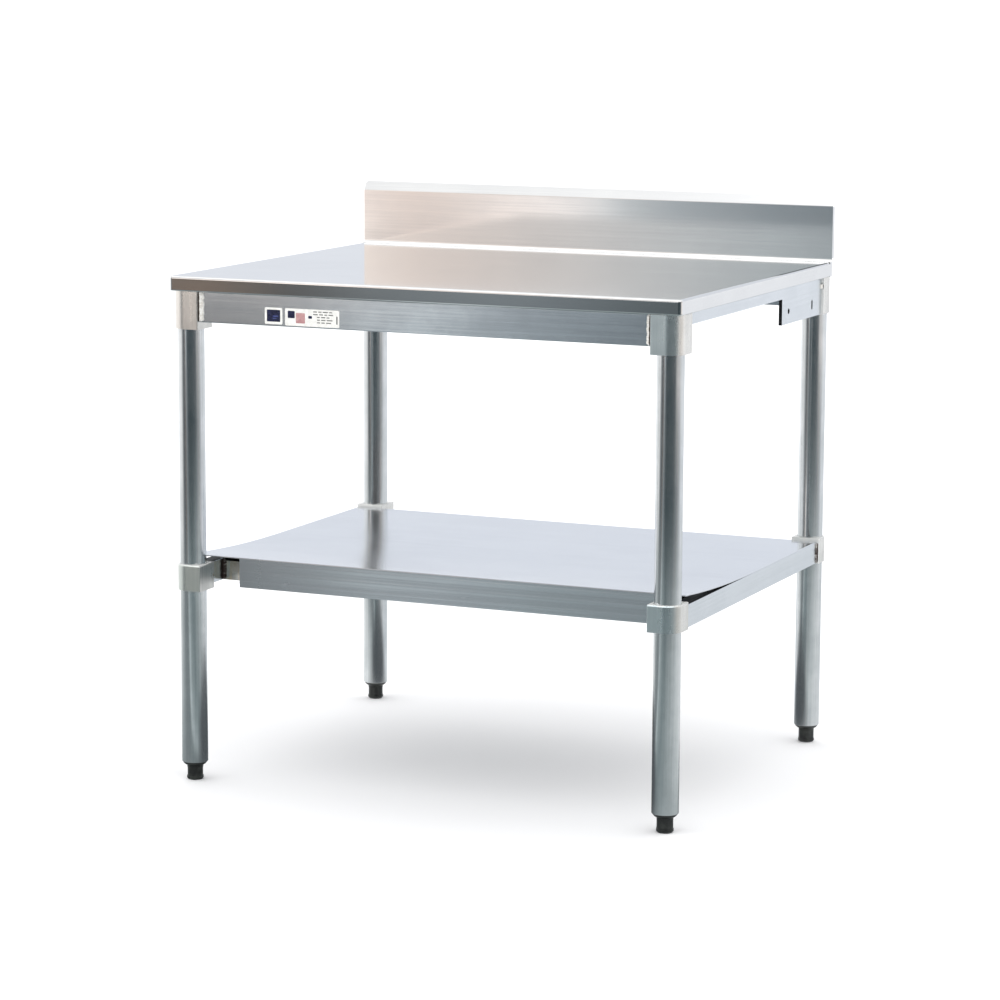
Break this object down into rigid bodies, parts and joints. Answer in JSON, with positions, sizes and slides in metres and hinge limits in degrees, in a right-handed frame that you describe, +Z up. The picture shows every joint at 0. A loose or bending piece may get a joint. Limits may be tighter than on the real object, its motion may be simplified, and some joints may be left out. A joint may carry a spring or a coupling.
{
  "type": "work table",
  "caption": "Work table with a stainless sheet top and rear upstand, round pipe legs in square sockets, a height-adjustable sheet undershelf and screw-in levelling feet.",
  "frame": {"origin": "on the floor, under the middle of the table's outline", "axes": "+X to the right seen from the front, +Y from the open front towards the upstand, +Z up"},
  "size_m": [0.9144, 0.762, 0.9779],
  "materials": {
    "stainless_sheet": "fine grain along the front, satin, slightly reflective",
    "aluminium_pipe": "drawn tube, semi-bright, fine lines along its length",
    "cast_socket": "extruded and sawn, dull, slightly marked",
    "aluminium_sheet": "mill finish sheet, satin",
    "hat_section": "mill finish, dull",
    "aluminium_rail": "mill finish extrusion with lines along its length",
    "weld_bead": "rippled bead with darker burn marks at its edges",
    "zinc_fastener": "zinc plated",
    "black_plastic": "moulded, fine texture",
    "label_small": "printed film, dark panel with a white border",
    "label_wide": "printed film, white with grey bars"
  },
  "bodies": {
    "frame": {"foot_insert_front_left": "black_plastic", "foot_insert_front_right": "black_plastic", "foot_insert_rear_left": "black_plastic", "foot_insert_rear_right": "black_plastic", "frame_welds": "weld_bead", "front_apron": "aluminium_rail", "hat_channel_front": "hat_section", "hat_channel_middle": "hat_section", "hat_channel_rear": "hat_section", "label_small": "label_small", "label_wide": "label_wide", "left_side_rail": "aluminium_rail", "leg_front_left": "aluminium_pipe", "leg_front_right": "aluminium_pipe", "leg_rear_left": "aluminium_pipe", "leg_rear_right": "aluminium_pipe", "rear_apron": "aluminium_rail", "right_side_rail": "aluminium_rail", "top_clamp_screws": "zinc_fastener", "top_cross_rail": "aluminium_rail", "top_fixing_bolts": "zinc_fastener", "top_fixing_nuts": "zinc_fastener", "top_socket_front_left": "cast_socket", "top_socket_front_right": "cast_socket", "top_socket_rear_left": "cast_socket", "top_socket_rear_right": "cast_socket", "worktop": "stainless_sheet"},
    "shelf": {"shelf_clamp_screws": "zinc_fastener", "shelf_deck": "aluminium_sheet", "shelf_front_rail": "aluminium_rail", "shelf_left_rail": "aluminium_rail", "shelf_rear_rail": "aluminium_rail", "shelf_right_rail": "aluminium_rail", "shelf_socket_front_left": "cast_socket", "shelf_socket_front_right": "cast_socket", "shelf_socket_rear_left": "cast_socket", "shelf_socket_rear_right": "cast_socket", "shelf_stiffener": "hat_section", "shelf_welds": "weld_bead"},
    "foot_front_left": {"levelling_foot_front_left": "black_plastic"},
    "foot_front_right": {"levelling_foot_front_right": "black_plastic"},
    "foot_rear_left": {"levelling_foot_rear_left": "black_plastic"},
    "foot_rear_right": {"levelling_foot_rear_right": "black_plastic"}
  },
  "joints": [
    {"name": "shelf_height", "type": "slide", "parent": "frame", "child": "shelf", "axis": [0, 0, 1], "range_m": [-0.25, 0.35]},
    {"name": "foot_front_left_screw", "type": "slide", "parent": "frame", "child": "foot_front_left", "axis": [0, 0, -1], "range_m": [0, 0.025]},
    {"name": "foot_front_right_screw", "type": "slide", "parent": "frame", "child": "foot_front_right", "axis": [0, 0, -1], "range_m": [0, 0.025]},
    {"name": "foot_rear_left_screw", "type": "slide", "parent": "frame", "child": "foot_rear_left", "axis": [0, 0, -1], "range_m": [0, 0.025]},
    {"name": "foot_rear_right_screw", "type": "slide", "parent": "frame", "child": "foot_rear_right", "axis": [0, 0, -1], "range_m": [0, 0.025]}
  ]
}
